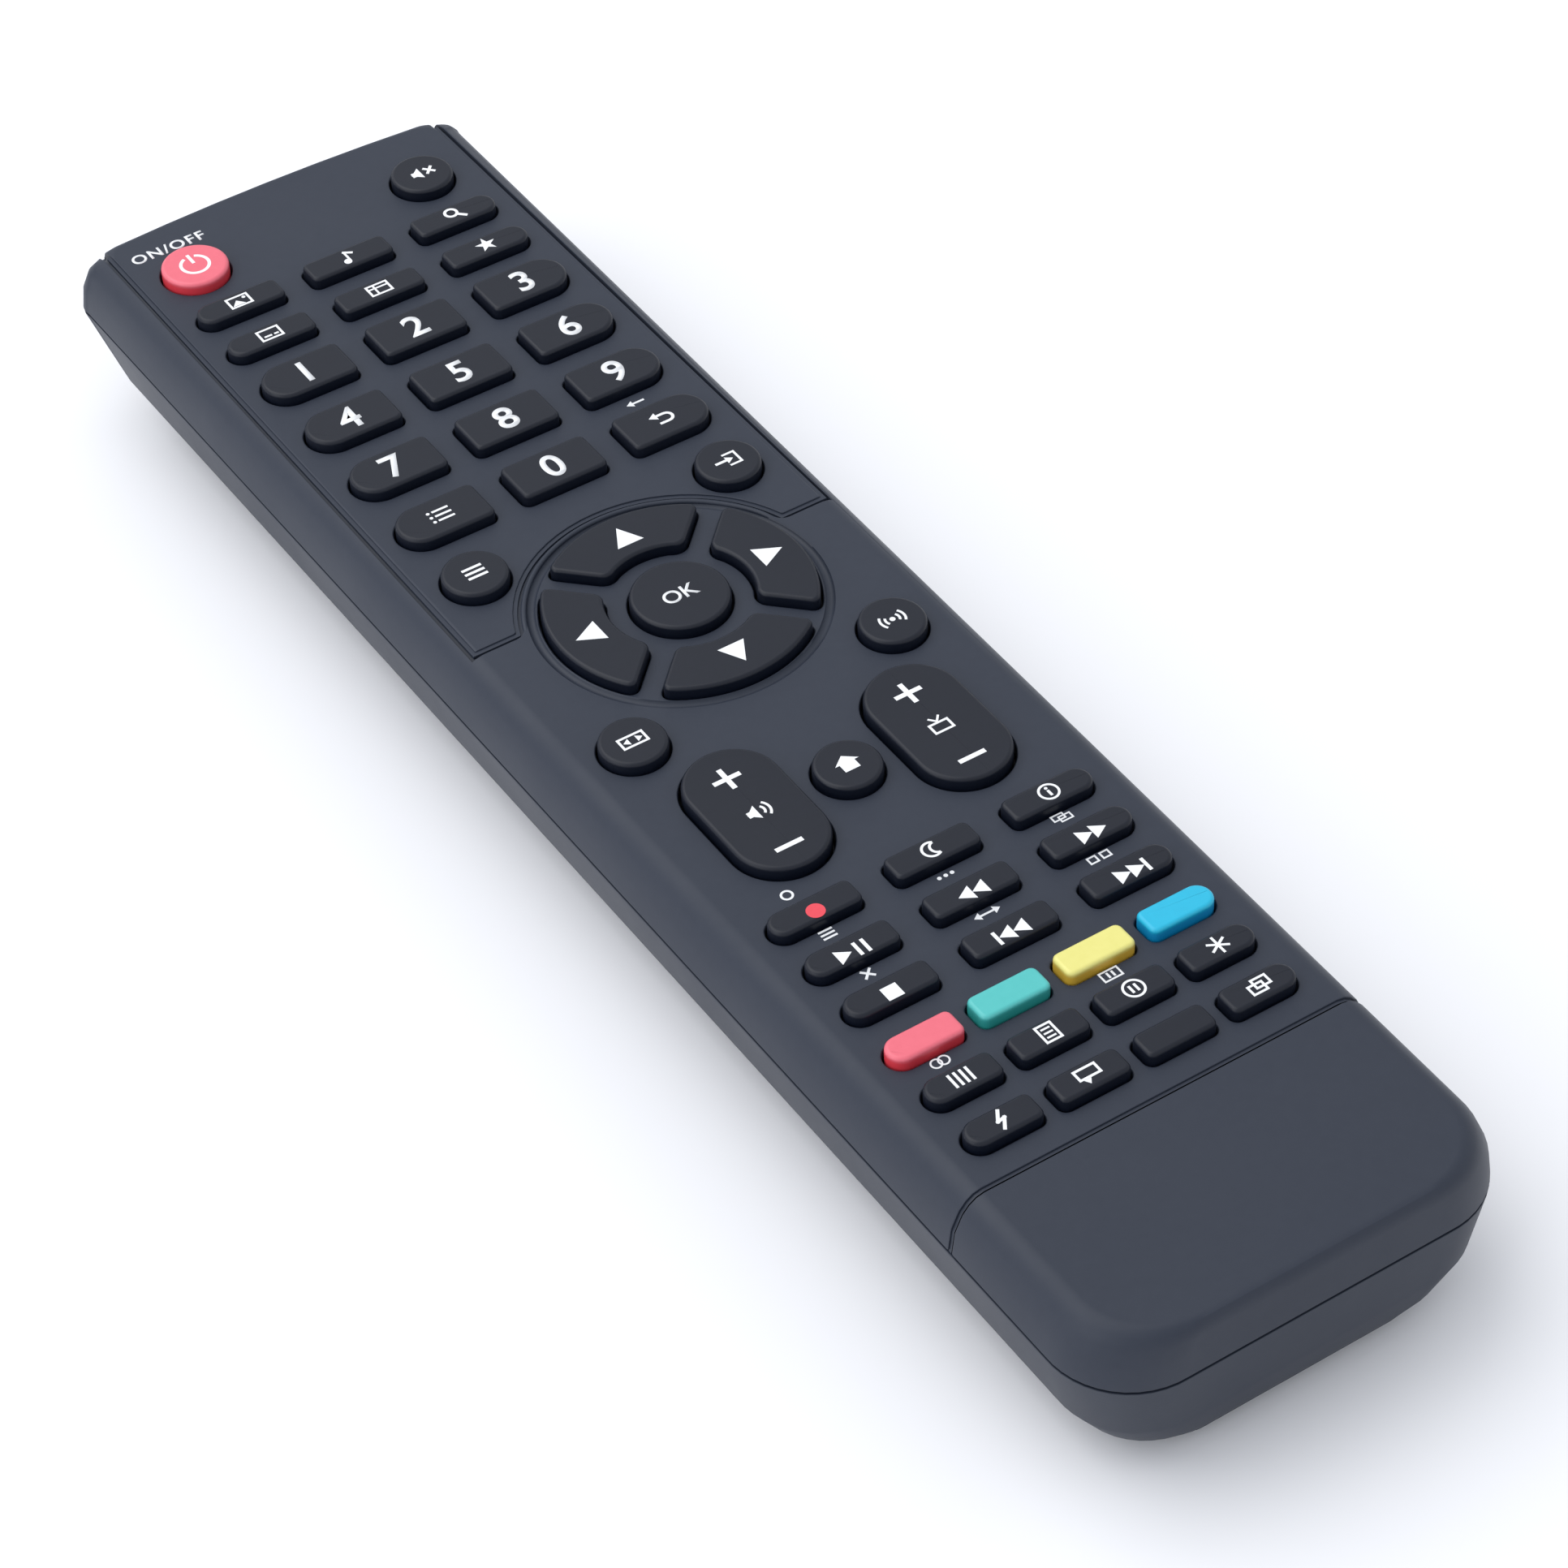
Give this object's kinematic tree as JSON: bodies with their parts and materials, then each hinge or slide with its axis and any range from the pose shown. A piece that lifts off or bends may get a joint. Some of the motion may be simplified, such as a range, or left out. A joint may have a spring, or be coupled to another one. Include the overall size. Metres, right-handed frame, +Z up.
{
  "type": "tv remote control",
  "caption": "Long slim handheld remote control with a grey two-part casing, direction pad, rocker keys and a sliding battery door.",
  "frame": {"origin": "centre of the flat underside, midway along the length", "axes": "+X to the right across the keys, +Y along the length towards the infrared end, +Z up out of the keys"},
  "size_m": [0.0542, 0.214, 0.0234],
  "materials": {
    "casing": "fine matte slate grey",
    "key_black": "satin black",
    "key_red": "satin",
    "key_green": "satin",
    "key_yellow": "satin",
    "key_blue": "satin",
    "silicone": "dull",
    "board": "solder resist",
    "contact_metal": "plated",
    "cell_jacket": "satin sleeve"
  },
  "bodies": {
    "base": {"upper_casing": "casing", "lower_casing": "casing", "circuit_board": "board", "keypad_mat": "silicone", "battery_contacts": "contact_metal", "battery_cells": "cell_jacket"},
    "battery_door": {"battery_door": "casing"},
    "rocker_volume": {"rocker_volume": "key_black"},
    "rocker_program": {"rocker_program": "key_black"},
    "key_power": {"key_power": "key_red"},
    "key_up": {"key_up": "key_black"},
    "key_right": {"key_right": "key_black"},
    "key_down": {"key_down": "key_black"},
    "key_left": {"key_left": "key_black"},
    "key_enter": {"key_enter": "key_black"},
    "key_5": {"key_5": "key_black"},
    "key_1": {"key_1": "key_black"},
    "key_red": {"key_red": "key_red"},
    "key_mute": {"key_mute": "key_black"},
    "key_picture": {"key_picture": "key_black"},
    "key_sound": {"key_sound": "key_black"},
    "key_zoom": {"key_zoom": "key_black"},
    "key_subtitle": {"key_subtitle": "key_black"},
    "key_guide": {"key_guide": "key_black"},
    "key_favourite": {"key_favourite": "key_black"},
    "key_2": {"key_2": "key_black"},
    "key_3": {"key_3": "key_black"},
    "key_4": {"key_4": "key_black"},
    "key_6": {"key_6": "key_black"},
    "key_7": {"key_7": "key_black"},
    "key_8": {"key_8": "key_black"},
    "key_9": {"key_9": "key_black"},
    "key_list": {"key_list": "key_black"},
    "key_0": {"key_0": "key_black"},
    "key_return": {"key_return": "key_black"},
    "key_menu": {"key_menu": "key_black"},
    "key_source": {"key_source": "key_black"},
    "key_wide": {"key_wide": "key_black"},
    "key_tuner": {"key_tuner": "key_black"},
    "key_home": {"key_home": "key_black"},
    "key_record": {"key_record": "key_black"},
    "key_sleep": {"key_sleep": "key_black"},
    "key_info": {"key_info": "key_black"},
    "key_play_pause": {"key_play_pause": "key_black"},
    "key_rewind": {"key_rewind": "key_black"},
    "key_fast_forward": {"key_fast_forward": "key_black"},
    "key_stop": {"key_stop": "key_black"},
    "key_previous": {"key_previous": "key_black"},
    "key_next": {"key_next": "key_black"},
    "key_green": {"key_green": "key_green"},
    "key_yellow": {"key_yellow": "key_yellow"},
    "key_blue": {"key_blue": "key_blue"},
    "key_audio_mode": {"key_audio_mode": "key_black"},
    "key_text": {"key_text": "key_black"},
    "key_hold": {"key_hold": "key_black"},
    "key_freeze": {"key_freeze": "key_black"},
    "key_quick": {"key_quick": "key_black"},
    "key_description": {"key_description": "key_black"},
    "key_blank": {"key_blank": "key_black"},
    "key_depth": {"key_depth": "key_black"}
  },
  "joints": [
    {"name": "battery_door_slide", "type": "slide", "parent": "base", "child": "battery_door", "axis": [0, -1, 0], "range_m": [0, 0.066]},
    {"name": "rocker_volume_rock", "type": "hinge", "parent": "base", "child": "rocker_volume", "pos_m": [-0.0117, -0.0247, 0.0187], "axis": [1, 0, 0], "range_deg": [-3, 3], "stiffness_Nm_per_rad": 0.3},
    {"name": "rocker_program_rock", "type": "hinge", "parent": "base", "child": "rocker_program", "pos_m": [0.0117, -0.0247, 0.0187], "axis": [1, 0, 0], "range_deg": [-3, 3], "stiffness_Nm_per_rad": 0.3},
    {"name": "key_power_press", "type": "slide", "parent": "base", "child": "key_power", "axis": [0, 0, -1], "range_m": [0, 0.0008], "stiffness_N_per_m": 1500},
    {"name": "key_up_press", "type": "slide", "parent": "base", "child": "key_up", "axis": [0, 0, -1], "range_m": [0, 0.0008], "stiffness_N_per_m": 1500},
    {"name": "key_right_press", "type": "slide", "parent": "base", "child": "key_right", "axis": [0, 0, -1], "range_m": [0, 0.0008], "stiffness_N_per_m": 1500},
    {"name": "key_down_press", "type": "slide", "parent": "base", "child": "key_down", "axis": [0, 0, -1], "range_m": [0, 0.0008], "stiffness_N_per_m": 1500},
    {"name": "key_left_press", "type": "slide", "parent": "base", "child": "key_left", "axis": [0, 0, -1], "range_m": [0, 0.0008], "stiffness_N_per_m": 1500},
    {"name": "key_enter_press", "type": "slide", "parent": "base", "child": "key_enter", "axis": [0, 0, -1], "range_m": [0, 0.0008], "stiffness_N_per_m": 1500},
    {"name": "key_5_press", "type": "slide", "parent": "base", "child": "key_5", "axis": [0, 0, -1], "range_m": [0, 0.0008], "stiffness_N_per_m": 1500},
    {"name": "key_1_press", "type": "slide", "parent": "base", "child": "key_1", "axis": [0, 0, -1], "range_m": [0, 0.0008], "stiffness_N_per_m": 1500},
    {"name": "key_red_press", "type": "slide", "parent": "base", "child": "key_red", "axis": [0, 0, -1], "range_m": [0, 0.0008], "stiffness_N_per_m": 1500},
    {"name": "key_mute_press", "type": "slide", "parent": "base", "child": "key_mute", "axis": [0, 0, -1], "range_m": [0, 0.0008], "stiffness_N_per_m": 1500},
    {"name": "key_picture_press", "type": "slide", "parent": "base", "child": "key_picture", "axis": [0, 0, -1], "range_m": [0, 0.0008], "stiffness_N_per_m": 1500},
    {"name": "key_sound_press", "type": "slide", "parent": "base", "child": "key_sound", "axis": [0, 0, -1], "range_m": [0, 0.0008], "stiffness_N_per_m": 1500},
    {"name": "key_zoom_press", "type": "slide", "parent": "base", "child": "key_zoom", "axis": [0, 0, -1], "range_m": [0, 0.0008], "stiffness_N_per_m": 1500},
    {"name": "key_subtitle_press", "type": "slide", "parent": "base", "child": "key_subtitle", "axis": [0, 0, -1], "range_m": [0, 0.0008], "stiffness_N_per_m": 1500},
    {"name": "key_guide_press", "type": "slide", "parent": "base", "child": "key_guide", "axis": [0, 0, -1], "range_m": [0, 0.0008], "stiffness_N_per_m": 1500},
    {"name": "key_favourite_press", "type": "slide", "parent": "base", "child": "key_favourite", "axis": [0, 0, -1], "range_m": [0, 0.0008], "stiffness_N_per_m": 1500},
    {"name": "key_2_press", "type": "slide", "parent": "base", "child": "key_2", "axis": [0, 0, -1], "range_m": [0, 0.0008], "stiffness_N_per_m": 1500},
    {"name": "key_3_press", "type": "slide", "parent": "base", "child": "key_3", "axis": [0, 0, -1], "range_m": [0, 0.0008], "stiffness_N_per_m": 1500},
    {"name": "key_4_press", "type": "slide", "parent": "base", "child": "key_4", "axis": [0, 0, -1], "range_m": [0, 0.0008], "stiffness_N_per_m": 1500},
    {"name": "key_6_press", "type": "slide", "parent": "base", "child": "key_6", "axis": [0, 0, -1], "range_m": [0, 0.0008], "stiffness_N_per_m": 1500},
    {"name": "key_7_press", "type": "slide", "parent": "base", "child": "key_7", "axis": [0, 0, -1], "range_m": [0, 0.0008], "stiffness_N_per_m": 1500},
    {"name": "key_8_press", "type": "slide", "parent": "base", "child": "key_8", "axis": [0, 0, -1], "range_m": [0, 0.0008], "stiffness_N_per_m": 1500},
    {"name": "key_9_press", "type": "slide", "parent": "base", "child": "key_9", "axis": [0, 0, -1], "range_m": [0, 0.0008], "stiffness_N_per_m": 1500},
    {"name": "key_list_press", "type": "slide", "parent": "base", "child": "key_list", "axis": [0, 0, -1], "range_m": [0, 0.0008], "stiffness_N_per_m": 1500},
    {"name": "key_0_press", "type": "slide", "parent": "base", "child": "key_0", "axis": [0, 0, -1], "range_m": [0, 0.0008], "stiffness_N_per_m": 1500},
    {"name": "key_return_press", "type": "slide", "parent": "base", "child": "key_return", "axis": [0, 0, -1], "range_m": [0, 0.0008], "stiffness_N_per_m": 1500},
    {"name": "key_menu_press", "type": "slide", "parent": "base", "child": "key_menu", "axis": [0, 0, -1], "range_m": [0, 0.0008], "stiffness_N_per_m": 1500},
    {"name": "key_source_press", "type": "slide", "parent": "base", "child": "key_source", "axis": [0, 0, -1], "range_m": [0, 0.0008], "stiffness_N_per_m": 1500},
    {"name": "key_wide_press", "type": "slide", "parent": "base", "child": "key_wide", "axis": [0, 0, -1], "range_m": [0, 0.0008], "stiffness_N_per_m": 1500},
    {"name": "key_tuner_press", "type": "slide", "parent": "base", "child": "key_tuner", "axis": [0, 0, -1], "range_m": [0, 0.0008], "stiffness_N_per_m": 1500},
    {"name": "key_home_press", "type": "slide", "parent": "base", "child": "key_home", "axis": [0, 0, -1], "range_m": [0, 0.0008], "stiffness_N_per_m": 1500},
    {"name": "key_record_press", "type": "slide", "parent": "base", "child": "key_record", "axis": [0, 0, -1], "range_m": [0, 0.0008], "stiffness_N_per_m": 1500},
    {"name": "key_sleep_press", "type": "slide", "parent": "base", "child": "key_sleep", "axis": [0, 0, -1], "range_m": [0, 0.0008], "stiffness_N_per_m": 1500},
    {"name": "key_info_press", "type": "slide", "parent": "base", "child": "key_info", "axis": [0, 0, -1], "range_m": [0, 0.0008], "stiffness_N_per_m": 1500},
    {"name": "key_play_pause_press", "type": "slide", "parent": "base", "child": "key_play_pause", "axis": [0, 0, -1], "range_m": [0, 0.0008], "stiffness_N_per_m": 1500},
    {"name": "key_rewind_press", "type": "slide", "parent": "base", "child": "key_rewind", "axis": [0, 0, -1], "range_m": [0, 0.0008], "stiffness_N_per_m": 1500},
    {"name": "key_fast_forward_press", "type": "slide", "parent": "base", "child": "key_fast_forward", "axis": [0, 0, -1], "range_m": [0, 0.0008], "stiffness_N_per_m": 1500},
    {"name": "key_stop_press", "type": "slide", "parent": "base", "child": "key_stop", "axis": [0, 0, -1], "range_m": [0, 0.0008], "stiffness_N_per_m": 1500},
    {"name": "key_previous_press", "type": "slide", "parent": "base", "child": "key_previous", "axis": [0, 0, -1], "range_m": [0, 0.0008], "stiffness_N_per_m": 1500},
    {"name": "key_next_press", "type": "slide", "parent": "base", "child": "key_next", "axis": [0, 0, -1], "range_m": [0, 0.0008], "stiffness_N_per_m": 1500},
    {"name": "key_green_press", "type": "slide", "parent": "base", "child": "key_green", "axis": [0, 0, -1], "range_m": [0, 0.0008], "stiffness_N_per_m": 1500},
    {"name": "key_yellow_press", "type": "slide", "parent": "base", "child": "key_yellow", "axis": [0, 0, -1], "range_m": [0, 0.0008], "stiffness_N_per_m": 1500},
    {"name": "key_blue_press", "type": "slide", "parent": "base", "child": "key_blue", "axis": [0, 0, -1], "range_m": [0, 0.0008], "stiffness_N_per_m": 1500},
    {"name": "key_audio_mode_press", "type": "slide", "parent": "base", "child": "key_audio_mode", "axis": [0, 0, -1], "range_m": [0, 0.0008], "stiffness_N_per_m": 1500},
    {"name": "key_text_press", "type": "slide", "parent": "base", "child": "key_text", "axis": [0, 0, -1], "range_m": [0, 0.0008], "stiffness_N_per_m": 1500},
    {"name": "key_hold_press", "type": "slide", "parent": "base", "child": "key_hold", "axis": [0, 0, -1], "range_m": [0, 0.0008], "stiffness_N_per_m": 1500},
    {"name": "key_freeze_press", "type": "slide", "parent": "base", "child": "key_freeze", "axis": [0, 0, -1], "range_m": [0, 0.0008], "stiffness_N_per_m": 1500},
    {"name": "key_quick_press", "type": "slide", "parent": "base", "child": "key_quick", "axis": [0, 0, -1], "range_m": [0, 0.0008], "stiffness_N_per_m": 1500},
    {"name": "key_description_press", "type": "slide", "parent": "base", "child": "key_description", "axis": [0, 0, -1], "range_m": [0, 0.0008], "stiffness_N_per_m": 1500},
    {"name": "key_blank_press", "type": "slide", "parent": "base", "child": "key_blank", "axis": [0, 0, -1], "range_m": [0, 0.0008], "stiffness_N_per_m": 1500},
    {"name": "key_depth_press", "type": "slide", "parent": "base", "child": "key_depth", "axis": [0, 0, -1], "range_m": [0, 0.0008], "stiffness_N_per_m": 1500}
  ]
}
